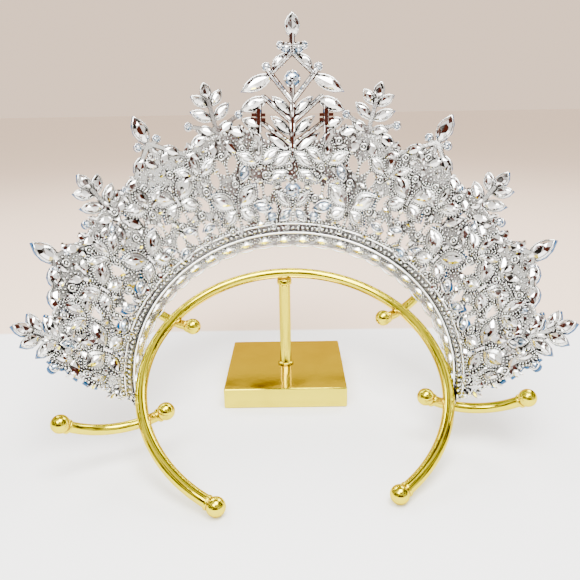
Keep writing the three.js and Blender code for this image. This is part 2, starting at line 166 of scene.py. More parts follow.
def bent_rod(bm, centre, start, axis, angle, radius, sides, steps):
    """A round rod on an arc about centre, with a neck and a ball at each end."""
    arm = start - centre
    along = axis.cross(arm).normalized()
    section = Matrix((arm.normalized(), axis, along)).transposed().to_4x4()
    section.translation = start
    ring = bmesh.ops.create_circle(bm, cap_ends=True, segments=sides, radius=radius, matrix=section)["verts"]
    cap = [face for face in bm.faces if all(v in ring for v in face.verts)]
    bmesh.ops.spin(bm, geom=cap, cent=centre, axis=axis, angle=angle, steps=steps)
    for turn, way in ((0, -1), (angle, 1)):
        swing = Matrix.Translation(centre) @ Matrix.Rotation(turn, 4, axis) @ Matrix.Translation(-centre)
        end = swing @ section
        neck = end @ Matrix.Translation((0, 0, -way * (BALL_RADIUS - NECK["length"] / 4)))
        shape = bmesh.ops.create_cone(bm, cap_ends=True, segments=sides, radius1=NECK["radius"],
                                      radius2=NECK["radius"], depth=NECK["length"], matrix=neck)["verts"]
        rims = {edge for v in shape for edge in v.link_edges
                if any(len(face.verts) > 4 for face in edge.link_faces)}
        bmesh.ops.bevel(bm, geom=list(rims), offset=NECK["rounding"], offset_type="OFFSET", segments=2,
                        profile=0.5, affect="EDGES", material=-1)
        bmesh.ops.create_uvsphere(bm, u_segments=32, v_segments=20, radius=BALL_RADIUS, matrix=end)


hoop = bmesh.new()
hoop_start = HOOP_RADIUS * Vector((-math.sin(HOOP_HALF_ARC), math.cos(HOOP_HALF_ARC), 0))
bent_rod(hoop, Vector(), hoop_start, Vector((0, 0, -1)), 2 * HOOP_HALF_ARC, TUBE_RADIUS, sides=28, steps=150)
bmesh.ops.transform(hoop, matrix=hoop_to_stand, verts=hoop.verts)
stand_piece("gilt_hoop", hoop, "hoop", ROUND_SHARP)

# Arms: four short steel rods that pass under the tube, where they are soldered, and curl up to a ball at
# each end. The crown's band lies on them.
ROD_RADIUS = 2.2 * MM
ARM_BEND = 30.8 * MM
ARM_LOWEST = 5.8 * MM
ARM_REACH = (-9.2 * MM, 30.5 * MM)
ARM_CLEARANCE = 0.3 * MM
ARM_ANGLES = {"upper_arm_left": -53.5, "upper_arm_right": 53.5,
              "lower_arm_left": -103, "lower_arm_right": 103}

arm_rise = math.sqrt(ARM_BEND ** 2 - ARM_LOWEST ** 2) - TUBE_RADIUS - ROD_RADIUS - ARM_CLEARANCE
arm_from, arm_to = (math.asin((reach - ARM_LOWEST) / ARM_BEND) for reach in ARM_REACH)
for arm_name, arm_angle in ARM_ANGLES.items():
    turn = math.radians(arm_angle)
    outward = Vector((math.sin(turn), math.cos(turn), 0))
    bend_centre = outward * (HOOP_RADIUS + ARM_LOWEST) + Vector((0, 0, arm_rise))
    arm_start = bend_centre + ARM_BEND * (outward * math.sin(arm_from) - Vector((0, 0, math.cos(arm_from))))
    bend_axis = Vector((0, 0, -1)).cross(outward)
    arm = bmesh.new()
    bent_rod(arm, bend_centre, arm_start, bend_axis, arm_to - arm_from, ROD_RADIUS, sides=24, steps=36)
    bmesh.ops.transform(arm, matrix=hoop_to_stand, verts=arm.verts)
    stand_piece("gilt_" + arm_name, arm, arm_name, ROUND_SHARP)

# Crown sheet: the pierced floor of the casting, one piece of white metal cast flat, bent round to a
# flaring cone and silver plated. Everything else on the crown is cast with it or soldered to it.
# The crown is laid out flat round the cone's point, in millimetres, and z is the way to the wearer.
BAND_RADIUS = 72
FLARE = math.radians(45)
CONE_SLANT = BAND_RADIUS / math.sin(FLARE)
HALF_ARC = 108
SHEET = 1.3
# Upper edge of the sheet: angle from the front in degrees, slant height above the band.
SHEET_TOP = [(0, 42), (8, 47), (13, 53.5), (20, 53), (30, 50), (34, 53), (37.4, 57), (41, 52), (45, 47.5),
             (49, 46.5), (55.6, 47), (66, 43), (70, 46), (74.8, 48), (79, 43.5), (84, 39.5), (92, 40),
             (97, 38), (102, 30), (108, 6)]
SHEET_FOOT = (-6, -3)
CROWN_CENTRE = Vector((4.3, -43.6, 34.6))
CROWN_SWAY = math.radians(0.6)
CROWN_LEAN = math.radians(36.8)
crown_place = np.array(Matrix.Translation(CROWN_CENTRE) @ Matrix.Rotation(CROWN_SWAY, 4, "Y")
                       @ Matrix.Rotation(CROWN_LEAN, 4, "X"))


def sheet_top(phi):
    """Slant height of the sheet's upper edge at an angle from the front."""
    return np.interp(abs(phi), *zip(*SHEET_TOP))


def sheet_foot(phi):
    """Slant height of the sheet's lower edge at an angle from the front."""
    return np.interp(abs(phi), (0, HALF_ARC), SHEET_FOOT)


def on_cone(flat):
    """Points of the flat layout bent onto the crown's cone and set on the stand, in metres."""
    phi = np.arctan2(flat[:, 0], flat[:, 1]) / math.sin(FLARE)
    rho = np.hypot(flat[:, 0], flat[:, 1]) - CONE_SLANT
    radius = BAND_RADIUS + rho * math.sin(FLARE) - flat[:, 2] * math.cos(FLARE)
    height = rho * math.cos(FLARE) + flat[:, 2] * math.sin(FLARE)
    bent = np.column_stack([radius * np.sin(phi), radius * np.cos(phi), height])
    return (bent @ crown_place[:3, :3].T + crown_place[:3, 3]) * MM


# Silver plate over a casting, left from the barrel: a warm white satin with the fine orange-peel of the
# mould under the plating. Its colour turns to a painted dark-brown shade where it is closed in, between the
# beads.
silver, silver_shader = new_material("silver_plated_casting")
silver_place = add_node(silver, "ShaderNodeTexCoord", {})
silver_cloud = add_node(silver, "ShaderNodeTexNoise", {
    "Vector": silver_place.outputs["Object"], "Scale": 1 / (9 * MM), "Detail": 4})
silver_tone = add_node(silver, "ShaderNodeMix", {
    0: silver_cloud.outputs["Fac"], 6: linear("#fefffe"), 7: linear("#faf9f0")}, data_type="RGBA")
# painted shade: the base colour goes dark brown where ambient occlusion finds little open room round it
silver_openness = add_node(silver, "ShaderNodeAmbientOcclusion", {"Distance": 1.6 * MM}, samples=8)
silver_unshaded = add_node(silver, "ShaderNodeMapRange", {
    "Value": silver_openness.outputs["AO"], "From Min": 0.62, "From Max": 0.88})
silver_tone_with_painted_shade = add_node(silver, "ShaderNodeMix", {
    0: silver_unshaded.outputs["Result"], 6: linear("#1f1b17"), 7: silver_tone.outputs[2]}, data_type="RGBA")
silver_gloss = add_node(silver, "ShaderNodeMapRange", {
    "Value": silver_cloud.outputs["Fac"], "From Min": 0.3, "From Max": 0.7, "To Min": 0.15, "To Max": 0.29})
silver_grain = add_node(silver, "ShaderNodeTexNoise", {
    "Vector": silver_place.outputs["Object"], "Scale": 1 / (0.7 * MM), "Detail": 2})
silver_bump = add_node(silver, "ShaderNodeBump", {
    "Height": silver_grain.outputs["Fac"], "Strength": 0.25, "Distance": 0.2 * MM})
link(silver, silver_tone_with_painted_shade.outputs[2], silver_shader.inputs["Base Color"])
link(silver, silver_gloss.outputs["Result"], silver_shader.inputs["Roughness"])
link(silver, silver_bump.outputs["Normal"], silver_shader.inputs["Normal"])
silver_shader.inputs["Metallic"].default_value = 1
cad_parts["crown_frame"].material_slots[0].material = silver

# Leaf cups: pointed oval settings with a keeled, bright-cut back, cast in one with the motifs that stand
# free above the sheet: ferns, crests and the tall peak. Their backs are burnished, their rims are wire.
# A row of leaves gives the root's place across and along the motif, the lean in degrees, length and width.
KEEL = {"foot": -0.15, "wall": 0.75, "ridge": 2.7, "from": 0.32, "to": 0.68, "margin": 1.03,
        "inner": 0.62, "swell": 0.74}
RIM = {"radius": 0.4, "height": 0.75, "share": 1.03, "front_height": -0.2, "front_share": 0.98}
LENS_STEPS = 6
FERN_LEAVES = [(0, -8.6, 0, 8.6, 5), (0.9, -11.2, 46, 9, 4.6), (0.3, -18.2, 56, 11.2, 5),
               (0.4, -25, 64, 10, 5), (5.2, -24.2, 118, 10.5, 5.4), (1.6, -27.5, 150, 11.5, 5.8)]
CREST_LEAVES = [(0, -13.6, 0, 13.6, 6.8), (0.3, -26, 48, 9.5, 5)]
PEAK_LEAVES = [(0, 96.6, 0, 11.6, 6.8), (9.8, 82, -44, 9.8, 4.8), (10, 79, 117, 16.8, 6.4),
               (12.4, 68, 114, 14.6, 6), (0.5, 59.5, 46, 13, 4.8), (0.5, 50, 48, 13.6, 4.8),
               (14.6, 42, 30, 14, 5.6), (15.8, 54, 70, 10, 5), (0.5, 41, 52, 16, 5.2)]
# Ferns and crests stand at an angle from the front; a twig gives its two ends across and along the motif.
FERNS = [{"phi": 20, "tip": 79}, {"phi": 55.6, "tip": 65}, {"phi": 94.5, "tip": 54}]
CRESTS = [{"phi": 37.4, "tip": 74, "twig": (0, -13.5, 17, -28.2),
           "leaves": [(4.8, -17.8, 134, 10.5, 5.4), (12.9, -25, 128, 10.5, 5.4)]},
          {"phi": 74.8, "tip": 59.5, "twig": (0, -10, 15.7, -18.9),
           "leaves": [(3.7, -12, 124, 9.5, 5.2), (11.4, -16.8, 116, 9.5, 5.2)]}]
PEAK_FOOT = -1


class Motif:
    """A place on the flat layout: u runs across the motif's axis and v outward along it."""

    def __init__(self, origin, turn):
        self.origin = origin
        self.outward = np.array([math.sin(turn), math.cos(turn)])
        self.across = np.array([math.cos(turn), -math.sin(turn)])

    def place(self, u, v):
        return self.origin + np.multiply.outer(u, self.across) + np.multiply.outer(v, self.outward)

    def leaf(self, row, points):
        """Points (across, along, up) of a leaf whose row gives its root and its lean."""
        u, v, angle = row[:3]
        lean = math.radians(angle)
        flat = self.place(u + points[:, 0] * math.cos(lean) + points[:, 1] * math.sin(lean),
                          v - points[:, 0] * math.sin(lean) + points[:, 1] * math.cos(lean))
        return np.column_stack([flat, points[:, 2]])


def upright(phi, rho):
    """A motif at an angle from the front and a slant height, with its axis straight up the cone."""
    turn = math.radians(phi) * math.sin(FLARE)
    return Motif(np.array([math.sin(turn), math.cos(turn)]) * (CONE_SLANT + rho), turn)


def both_sides(rows):
    """Rows that lie off the axis, or lean from it, stand on both sides of it."""
    for u, v, angle, *size in rows:
        yield (u, v, angle, *size)
        if u or angle:
            yield (-u, v, -angle, *size)


def lens(length, width, steps=LENS_STEPS):
    """The outline of a pointed oval of two equal arcs, from its root round to its root again."""
    t = np.linspace(0, 1, steps + 1)
    right = np.column_stack([2 * width * t * (1 - t), length * t])
    left = right[::-1] * (-1, 1)
    return np.vstack([right[:-1], left[:-1]])


def arrays(bm):
    """The vertices and faces of a bmesh, which is freed."""
    bm.verts.index_update()
    shape = np.array([v.co for v in bm.verts]), [[v.index for v in face.verts] for face in bm.faces]
    bm.free()
    return shape


def hull(points):
    """The faceted solid round a few points, as vertices and faces."""
    bm = bmesh.new()
    for point in points:
        bm.verts.new(point)
    made = bmesh.ops.convex_hull(bm, input=bm.verts)
    inside = made["geom_interior"] + made["geom_unused"]
    spare = {item for item in inside if isinstance(item, bmesh.types.BMVert)}
    bmesh.ops.delete(bm, geom=list(spare), context="VERTS")
    bmesh.ops.dissolve_limit(bm, angle_limit=math.radians(1), verts=bm.verts, edges=bm.edges)
    bmesh.ops.recalc_face_normals(bm, faces=bm.faces)
    return arrays(bm)


def navette(length, width, foot, wall, ridge, swell=0):
    """A pointed oval whose roof rises to a short ridge, in one slope or swelling in two."""
    outline = lens(length, width)
    points = [(*point, z) for point in outline for z in (foot, wall)]
    points += [(0, length * share, ridge) for share in (KEEL["from"], KEEL["to"])]
    if swell:
        inner = (outline - (0, length / 2)) * KEEL["inner"] + (0, length / 2)
        points += [(*point, wall + (ridge - wall) * swell) for point in inner]
    return hull(points)


def crown_piece(name, shapes, material, smooth):
    """Shapes of the flat layout joined to one mesh on the cone."""
    points, faces, start = [], [], 0
    for shape_points, shape_faces in shapes:
        points.append(shape_points)
        faces.extend([i + start for i in face] for face in shape_faces)
        start += len(shape_points)
    mesh = bpy.data.meshes.new(name)
    mesh.from_pydata(on_cone(np.vstack(points)).tolist(), [], faces)
    return as_piece(name, mesh, material, smooth)


def wires(lines, radius, closed):
    """Round wire along lines of flat-layout points, as vertices and faces."""
    curve = bpy.data.curves.new("wire", "CURVE")
    curve.dimensions = "3D"
    curve.bevel_depth = radius
    curve.bevel_resolution = 1
    curve.use_fill_caps = True
    for line in lines:
        spline = curve.splines.new("POLY")
        spline.points.add(len(line) - 1)
        spline.points.foreach_set("co", np.column_stack([line, np.ones(len(line))]).ravel())
        spline.use_cyclic_u = closed
    drawn = bpy.data.objects.new("wire", curve)
    mesh = drawn.to_mesh()
    points = np.empty(len(mesh.vertices) * 3)
    mesh.vertices.foreach_get("co", points)
    shape = points.reshape(-1, 3), [list(polygon.vertices) for polygon in mesh.polygons]
    drawn.to_mesh_clear()
    bpy.data.objects.remove(drawn)
    bpy.data.curves.remove(curve)
    return shape


def rim_line(motif, row, z, share):
    """A leaf's outline, enlarged about the middle of its length."""
    outline = lens(*row[3:]) * share - (0, row[3] * (share - 1) / 2)
    return motif.leaf(row, np.column_stack([outline, np.full(len(outline), z)]))


peak = upright(0, PEAK_FOOT)
ferns = [(upright(sign * site["phi"], site["tip"]), site) for site in FERNS for sign in (-1, 1)]
crests = [(upright(sign * site["phi"], site["tip"]), site) for site in CRESTS for sign in (-1, 1)]
free_leaves = [(peak, row) for row in both_sides(PEAK_LEAVES)]
free_leaves += [(motif, row) for motif, site in ferns for row in both_sides(FERN_LEAVES)]
free_leaves += [(motif, row) for motif, site in crests for row in both_sides(CREST_LEAVES + site["leaves"])]

# Bright-cut silver: the same plate, burnished to a mirror that shows the room as light and dark facets.
bright, bright_shader = new_material("burnished_silver_plate")
bright_place = add_node(bright, "ShaderNodeTexCoord", {})
bright_cloud = add_node(bright, "ShaderNodeTexNoise", {
    "Vector": bright_place.outputs["Object"], "Scale": 1 / (5 * MM), "Detail": 3})
bright_tone = add_node(bright, "ShaderNodeMix", {
    0: bright_cloud.outputs["Fac"], 6: linear("#fdfdfd"), 7: linear("#efece6")}, data_type="RGBA")
# painted shade, as on the satin plate: the base colour goes dark brown where little room is open round it
bright_openness = add_node(bright, "ShaderNodeAmbientOcclusion", {"Distance": 1.6 * MM}, samples=8)
bright_unshaded = add_node(bright, "ShaderNodeMapRange", {
    "Value": bright_openness.outputs["AO"], "From Min": 0.58, "From Max": 0.88})
bright_tone_with_painted_shade = add_node(bright, "ShaderNodeMix", {
    0: bright_unshaded.outputs["Result"], 6: linear("#1c1713"), 7: bright_tone.outputs[2]}, data_type="RGBA")
bright_gloss = add_node(bright, "ShaderNodeMapRange", {
    "Value": bright_cloud.outputs["Fac"], "From Min": 0.3, "From Max": 0.7, "To Min": 0.03, "To Max": 0.1})
link(bright, bright_tone_with_painted_shade.outputs[2], bright_shader.inputs["Base Color"])
link(bright, bright_gloss.outputs["Result"], bright_shader.inputs["Roughness"])
bright_shader.inputs["Metallic"].default_value = 1

cups = []
for motif, row in free_leaves:
    length, width = row[3:]
    cup, cup_faces = navette(length * KEEL["margin"], width * KEEL["margin"], KEEL["foot"], KEEL["wall"],
                             KEEL["ridge"], KEEL["swell"])
    cups.append((motif.leaf(row, cup - (0, length * (KEEL["margin"] - 1) / 2, 0)), cup_faces))
crown_piece("crown_leaf_cups", cups, bright, smooth=False)
rims = [rim_line(motif, row, RIM["height"], RIM["share"]) for motif, row in free_leaves]
rims += [rim_line(motif, row, RIM["front_height"], RIM["front_share"]) for motif, row in free_leaves]
crown_piece("crown_leaf_rims", [wires(rims, RIM["radius"], True)], silver, smooth=True)

# Straps: the stems and bars that carry the leaves and tie the motifs to the sheet, cast with it on both
# faces. The peak's are roof-shaped and burnished, with four claws; the ferns' thin twigs stay satin.
# Levels give how far the edges are set in at each height; a strap gives its two ends across and along.
STRAP = {"width": 2.8, "levels": [(0, -0.2), (0, 1.1), (1.25, 2.2)]}
TWIG = {"width": 1.7, "levels": [(0, -0.2), (0, 0.7), (0.75, 1.2)]}
CLAW = {"levels": [(0, 0), (0, 1.9), (0.5, 2.5)], "across": 4.6, "bar": 0.9, "bars_at": (0.3, 0.65)}
STEM_ROOT = 3
FERN_STEM_END = -8
CREST_STEM_END = -13
FERN_TWIG = (0, -22, 8, -25.7)
FERN_BEAD = {"across": 12.9, "along": -18.6, "root": -23.5, "diameter": 3.6}
CREST_BEAD = {"across": 4.9, "along": -13.2, "root": -15.5, "diameter": 3.6}
PEAK_STEMS = [(0, 41, 0, 74.5), (0, 89.4, 0, 98)]
PEAK_BARS = [(0, 93, 5.9, 93), (0, 89.8, 10.9, 79.6), (10.9, 79.6, 13, 82.8), (10.9, 79.6, 0, 66),
             (14.6, 68.6, 0, 56), (16.8, 66.5, 16.8, 52), (16.8, 57, 0, 45)]
# Claws: place across and along the peak, length, width.
PEAK_CLAWS = [(17.2, 55.4, 6.6, 2.8), (-17.2, 55.4, 6.6, 2.8), (0, 52, 6, 2.4), (0, 44.2, 4.6, 2.4)]


def strap(motif, u, v, to_u, to_v, width=STRAP["width"], levels=STRAP["levels"]):
    """A bar from one place to another, its edges set in at its upper levels."""
    length = math.hypot(to_u - u, to_v - v)
    bar, bar_faces = hull([(side * (width / 2 - inset), end, z)
                           for inset, z in levels for side in (-1, 1) for end in (-inset, length + inset)])
    angle = math.degrees(math.atan2(to_u - u, to_v - v))
    return motif.leaf((u, v, angle), bar), bar_faces


def on_front(shapes):
    """The same relief on the other face of the sheet."""
    for points, faces in shapes:
        yield points * (1, 1, -1) + (0, 0, SHEET), [face[::-1] for face in faces]


straps = [strap(peak, *row) for row in PEAK_STEMS]
for u, v, to_u, to_v in PEAK_BARS:
    straps += [strap(peak, sign * u, v, sign * to_u, to_v) for sign in (-1, 1)]
sprays = [(motif, site, FERN_STEM_END, FERN_TWIG, FERN_BEAD) for motif, site in ferns]
sprays += [(motif, site, CREST_STEM_END, site["twig"], CREST_BEAD) for motif, site in crests]
twigs = []
for motif, site, stem_end, twig, bead in sprays:
    stem_root = sheet_top(site["phi"]) - STEM_ROOT - site["tip"]
    twigs.append(strap(motif, 0, stem_root, 0, stem_end, **TWIG))
    for sign in (-1, 1):
        twigs.append(strap(motif, sign * twig[0], twig[1], sign * twig[2], twig[3], **TWIG))
        twigs.append(strap(motif, 0, bead["root"], sign * bead["across"], bead["along"], **TWIG))
claws = []
for u, v, length, width in PEAK_CLAWS:
    claws.append(strap(peak, u, v, u, v + length, width, CLAW["levels"]))
    # only the claws beside the stem have crossbars
    for share in CLAW["bars_at"] if u else ():
        half = CLAW["across"] / 2
        claws.append(strap(peak, u - half, v + length * share, u + half, v + length * share, CLAW["bar"]))
crown_piece("crown_straps", straps + list(on_front(straps)), bright, smooth=False)
crown_piece("crown_twigs", twigs + list(on_front(twigs)), silver, smooth=False)
crown_piece("crown_claws", claws, bright, smooth=False)

# Wings: broad plates with a milled edge and a navette raised on each, cast on the sheet. Four of them
# make a butterfly, three a vine leaf at the sheet's upper edge, and the rest fill the foot of the peak.
WING_PLATE = {"foot": 0.9, "wall": 1.7, "ridge": 2.75}
NAVETTE = {"from": 0.22, "length": 0.66, "width": 0.46, "foot": 2.2, "wall": 2.5, "ridge": 3.7}
BODY = {"length": 3.6, "width": 1.6, "levels": [(0, 1), (0, 2.4), (0.6, 3)]}
WINGS = [(0.4, 0, 52, 15.4, 9.8), (0.4, -0.6, 124, 11.4, 7.8)]
VINE_WINGS = [(0, -13.8, 0, 13, 7.2), (0.3, -14, 58, 13.2, 7.2)]
PEAK_WINGS = [(0.6, 42, 127, 14, 7), (2.6, 32.6, 118, 13, 6.6), (0.6, 14, 46, 11.5, 6), (4, 27.5, 70, 9, 4.6)]
# Single wings: angle from the front, slant height, lean, length, width.
EDGE_WINGS = [(102, 13, 20, 10, 6.4), (99, 27, 12, 11, 6.6)]
# Butterflies: angle from the front, slant height. Vines: angle alone.
BUTTERFLIES = [(20, 16), (37.8, 30), (56.5, 15), (74.8, 24), (93, 14)]
VINES = [10, 28.7, 46.5, 65.2, 84.7]


def singles(rows):
    """Leaves that stand by themselves, on both sides of the crown."""
    return [(upright(sign * phi, rho), (0, 0, sign * angle, length, width))
            for phi, rho, angle, length, width in rows for sign in (-1, 1)]


butterflies = [upright(sign * phi, rho) for phi, rho in BUTTERFLIES for sign in (-1, 1)]
vines = [upright(sign * phi, sheet_top(phi)) for phi in VINES for sign in (-1, 1)]
wings = [(motif, row) for motif in butterflies for row in both_sides(WINGS)]
wings += [(motif, row) for motif in vines for row in both_sides(VINE_WINGS)]
wings += [(peak, row) for row in both_sides(PEAK_WINGS)]
wings += singles(EDGE_WINGS)
plates, navettes = [], []
for motif, row in wings:
    length, width = row[3:]
    plate_points, plate_faces = navette(length, width, **WING_PLATE)
    plates.append((motif.leaf(row, plate_points), plate_faces))
    raised, raised_faces = navette(length * NAVETTE["length"], width * NAVETTE["width"], NAVETTE["foot"],
                                   NAVETTE["wall"], NAVETTE["ridge"], KEEL["swell"])
    navettes.append((motif.leaf(row, raised + (0, length * NAVETTE["from"], 0)), raised_faces))
navettes += [strap(motif, 0, -BODY["length"] / 2, 0, BODY["length"] / 2, BODY["width"], BODY["levels"])
             for motif in butterflies]
crown_piece("crown_wing_plates", plates, silver, smooth=False)
crown_piece("crown_wing_navettes", navettes, bright, smooth=False)

# Beads: round silver shot, soldered in rows round the wings and the openings of the sheet. A row of finer
# shot is milled into the edge of each wing.
LOWER_GAP = (1.1, 6, 23, 11, 4.6)
UPPER_GAP = (1.1, 18.5, 23, 11, 5.2)
TOP_GAP = (1.1, 33, 23, 10.5, 5)
SINGLE_GAP = (0, 27.5, 0, 10, 4.6)
# Each kind of gap with the angles from the front at which it is pierced, on both sides.
GAPS = [(LOWER_GAP, [0, 10, 20, 28.7, 37.4, 46.5, 55.6, 65.2, 74.8, 84.7, 94.5]),
        (UPPER_GAP, [0, 10, 28.7, 37.4, 46.5, 65.2, 74.8, 84.7]),
        (TOP_GAP, [20, 55.6]), (SINGLE_GAP, [15, 24.4, 51])]
MILLED = {"radius": 0.46, "pitch": 1.25, "share": 0.9, "height": 2.2}
SHOT = {"radius": 0.56, "pitch": 1.5}
GAP_SHOT = {"share": 1.1, "lift": 0.1}
WING_SHOT = {"share": 1.13, "lift": 0.2}

ball = bmesh.new()
bmesh.ops.create_icosphere(ball, subdivisions=1, radius=1)
small_bead = arrays(ball)
ball = bmesh.new()
bmesh.ops.create_uvsphere(ball, u_segments=8, v_segments=6, radius=1)
large_bead = arrays(ball)


def beads(centres, radius, shape=small_bead):
    """Beads of the flat layout at rows of (x, y, z)."""
    return [(shape[0] * radius + centre, shape[1]) for centre in centres]


def string(line, pitch, closed=True):
    """Points spaced evenly along a line."""
    path = np.vstack([line, line[:1]]) if closed else line
    reach = np.concatenate([[0], np.cumsum(np.linalg.norm(np.diff(path, axis=0), axis=1))])
    count = max(2, round(reach[-1] / pitch))
    at = np.linspace(0, reach[-1], count, endpoint=not closed)
    return np.column_stack([np.interp(at, reach, path[:, k]) for k in range(3)])


gaps = []
for gap_row, angles in GAPS:
    for phi in angles:
        for sign in (-1, 1) if phi else (1,):
            gaps += [(upright(sign * phi, 0), row) for row in both_sides([gap_row])]
shot = []
for motif, row in gaps:
    edge = rim_line(motif, row, SHEET + GAP_SHOT["lift"], GAP_SHOT["share"])
    shot += beads(string(edge, SHOT["pitch"]), SHOT["radius"])
front_shot = list(on_front(shot))
for motif, row in wings:
    milled = rim_line(motif, row, MILLED["height"], MILLED["share"])
    shot += beads(string(milled, MILLED["pitch"]), MILLED["radius"])
    edge = rim_line(motif, row, SHEET + WING_SHOT["lift"], WING_SHOT["share"])
    shot += beads(string(edge, SHOT["pitch"]), SHOT["radius"])
crown_piece("crown_shot_back", shot, silver, smooth=True)
crown_piece("crown_shot_front", front_shot, silver, smooth=True)

# Filling: ring cups, leaflets and fine shot that were cast with the sheet, so that it reads as lace
# between the wings. Their places are drawn from a fixed seed, clear of the wings, leaves and openings.
RING = {"radius": 1.5, "wire": 0.45, "lift": 0.5, "heart": 0.55, "heart_lift": 0.3, "room": 3.2,
        "spacing": 11, "tries": 5000, "margin": 3}
LEAFLET = {"length": 5, "width": 2.4, "foot": -0.3, "wall": 0.3, "ridge": 1.2,
           "spacing": 6, "tries": 9000, "margin": 2}
GRAIN = {"least": 0.42, "most": 0.68, "lift": 0.1, "spacing": 1.5, "tries": 40000, "margin": 0.4}
CLEAR = {"wing": 1.2, "leaf": 1.1, "gap": 1.15, "ring": 1.1, "leaflet": 1.15}
BAND_DEPTH = 6
CIRCLE_STEPS = 12
draw = random.Random(7)


def covers(motif, row, share):
    """The middle, the reach and a test for flat-layout points inside a leaf's or a gap's outline."""
    u, v, angle, length, width = row
    lean = math.radians(angle)
    root = motif.place(u, v)
    along = math.sin(lean) * motif.across + math.cos(lean) * motif.outward
    across = math.cos(lean) * motif.across - math.sin(lean) * motif.outward

    def test(point):
        t = ((point - root) @ along / length - 0.5) / share + 0.5
        return 0 < t < 1 and abs((point - root) @ across) < 2 * width * share * t * (1 - t)
    return root + along * length / 2, length * share / 2, test


def scattered(size, keep_off):
    """Points spread over the sheet at least a spacing apart, off the named outlines."""
    spacing, margin = size["spacing"], size["margin"]
    found = {}
    outlines = [covers(motif, row, share) for motif, row, share in keep_off]
    middles = np.array([middle for middle, reach, test in outlines])
    reaches = np.array([reach for middle, reach, test in outlines])
    for attempt in range(size["tries"]):
        phi = draw.uniform(-HALF_ARC, HALF_ARC)
        low, high = sheet_foot(phi) + BAND_DEPTH + margin, sheet_top(phi) - margin
        spot = upright(phi, draw.uniform(low, max(low, high))).origin
        i, j = int(spot[0] // spacing), int(spot[1] // spacing)
        around = [(i + k, j + m) for k in (-1, 0, 1) for m in (-1, 0, 1)]
        if any(math.dist(spot, other) < spacing for cell in around for other in found.get(cell, ())):
            continue
        close = np.nonzero(np.hypot(*(middles - spot).T) < reaches)[0]
        if not any(outlines[k][2](spot) for k in close):
            found.setdefault((i, j), []).append(spot)
    return [spot for cell in found.values() for spot in cell]


def circle(motif, u, v, z, radius, steps=CIRCLE_STEPS):
    turns = np.arange(steps) * math.tau / steps
    flat = motif.place(u + radius * np.cos(turns), v + radius * np.sin(turns))
    return np.column_stack([flat, np.full(steps, z)])


taken = [(motif, row, CLEAR["wing"]) for motif, row in wings]
taken += [(motif, row, CLEAR["leaf"]) for motif, row in free_leaves]
taken += [(motif, row, CLEAR["gap"]) for motif, row in gaps]
small_leaf, small_faces = navette(LEAFLET["length"], LEAFLET["width"], SHEET + LEAFLET["foot"],
                                  SHEET + LEAFLET["wall"], SHEET + LEAFLET["ridge"])
leaflets, ring_lines, grains = [], [], []
for spot in scattered(RING, taken):
    place = Motif(spot, 0)
    ring_lines.append(circle(place, 0, 0, SHEET + RING["lift"], RING["radius"]))
    grains += beads([(*spot, SHEET + RING["heart_lift"])], RING["radius"] * RING["heart"], large_bead)
    room = RING["radius"] * RING["room"]
    taken.append((place, (0, -room / 2, 0, room, room), CLEAR["ring"]))
for spot in scattered(LEAFLET, taken):
    place = Motif(spot, draw.uniform(0, math.tau))
    row = (0, -LEAFLET["length"] / 2, 0, LEAFLET["length"], LEAFLET["width"])
    leaflets.append((place.leaf(row, small_leaf), small_faces))
    taken.append((place, row, CLEAR["leaflet"]))
for spot in scattered(GRAIN, taken):
    grains += beads([(*spot, SHEET + GRAIN["lift"])], draw.uniform(GRAIN["least"], GRAIN["most"]))
rings = [wires(ring_lines, RING["wire"], True)]
crown_piece("crown_leaflets_back", leaflets, bright, smooth=False)
crown_piece("crown_leaflets_front", on_front(leaflets), bright, smooth=False)
crown_piece("crown_ring_cups", rings + list(on_front(rings)), silver, smooth=True)
crown_piece("crown_filling_back", grains, silver, smooth=True)
crown_piece("crown_filling_front", on_front(grains), silver, smooth=True)

# Edges: the band is a round wire between two rows of shot, with a hem of small lens leaves in scallops
# below it. The sheet's upper edge is trimmed with shot and with short leaves that point up and out.
BAND_WIRE = {"radius": 0.6, "back": 0.4, "front": -0.2}
FINE_WIRE = {"radius": 0.5, "back": 0.1, "front": -0.1, "above": 4.6}
# Rows of shot along the band: slant height, pitch, radius.
BAND_SHOT = [(2.4, 2.5, 0.98), (-1.25, 2.5, 0.6), (5.8, 1.7, 0.62)]
BAND_LIFT = 0.1
HEM = {"pitch": 9.2, "depth": 1.4, "wire": 0.5, "steps": 11}
HEM_LEAF = {"length": 7.4, "width": 2.9, "foot": -0.3, "wall": 0.3, "ridge": 1.4, "above": 2.4}
HEM_SHOT = {"share": 1.2, "pitch": 1.4, "radius": 0.5}
SCALLOP_SHOT = {"pitch": 1.5, "radius": 0.62}
TRIM_SHOT = {"pitch": 2.3, "radius": 0.95}
TRIM = {"pitch": 4.6, "length": 5.6, "width": 2.8, "lean": 28, "sunk": 1.6, "foot": -0.1, "wall": 1.0,
        "ridge": 2.0}
EDGE_STEPS = 220
TRIM_STEPS = 600


def along_band(slant, z, steps=EDGE_STEPS):
    """A line from end to end of the crown, at a slant height or one that depends on the angle."""
    angles = np.linspace(-HALF_ARC, HALF_ARC, steps)
    return np.array([(*upright(phi, slant(phi) if callable(slant) else slant).origin, z) for phi in angles])


def on_edge(spot):
    """A motif at a point of an edge, with its axis straight up the cone."""
    return Motif(spot[:2], math.atan2(*spot[:2]))


